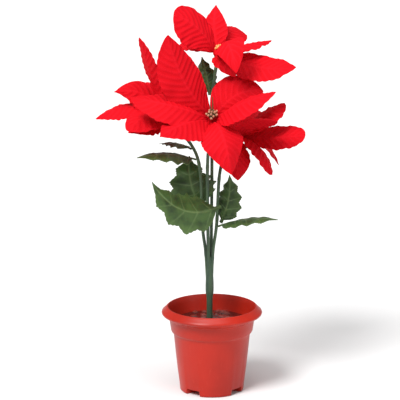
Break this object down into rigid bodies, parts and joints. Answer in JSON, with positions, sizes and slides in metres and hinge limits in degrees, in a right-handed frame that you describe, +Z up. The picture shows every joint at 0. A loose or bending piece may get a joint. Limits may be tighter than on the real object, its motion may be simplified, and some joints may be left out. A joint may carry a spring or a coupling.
{
  "type": "artificial poinsettia in a pot",
  "caption": "Artificial poinsettia: red cloth bracts and lobed green leaves on coated wire stems that stand in a small round moulded pot.",
  "frame": {"origin": "the middle of the pot's base, on the surface that the pot stands on", "axes": "+Z up out of the pot, the plant's front towards -Y, +X to the right of someone who faces it"},
  "size_m": [0.1861, 0.1425, 0.3451],
  "materials": {
    "bract_cloth": "matt woven polyester with pressed veins",
    "leaf_cloth": "printed woven polyester, slightly satin, with pressed veins",
    "stem_plastic": "moulded polythene over wire",
    "floret_orange": "moulded, painted tips",
    "floret_brown": "moulded, dark olive with paler tips",
    "pot_plastic": "moulded polypropylene, half gloss",
    "fill_resin": "set lumpy fill, glossy"
  },
  "bodies": {
    "root": {"pot": "pot_plastic", "pot_fill": "fill_resin", "stems": "stem_plastic", "leaf_left_upright": "leaf_cloth", "leaf_left_low": "leaf_cloth", "leaf_right_upright": "leaf_cloth", "leaf_right_low": "leaf_cloth", "leaf_left_high": "leaf_cloth", "leaf_left_small": "leaf_cloth", "leaf_right_high": "leaf_cloth", "leaf_top": "leaf_cloth", "bracts_top": "bract_cloth", "florets_top": "floret_orange", "bracts_front": "bract_cloth", "florets_front": "floret_brown", "bracts_left": "bract_cloth", "florets_left": "floret_orange", "bracts_right": "bract_cloth", "florets_right": "floret_orange"}
  },
  "joints": []
}
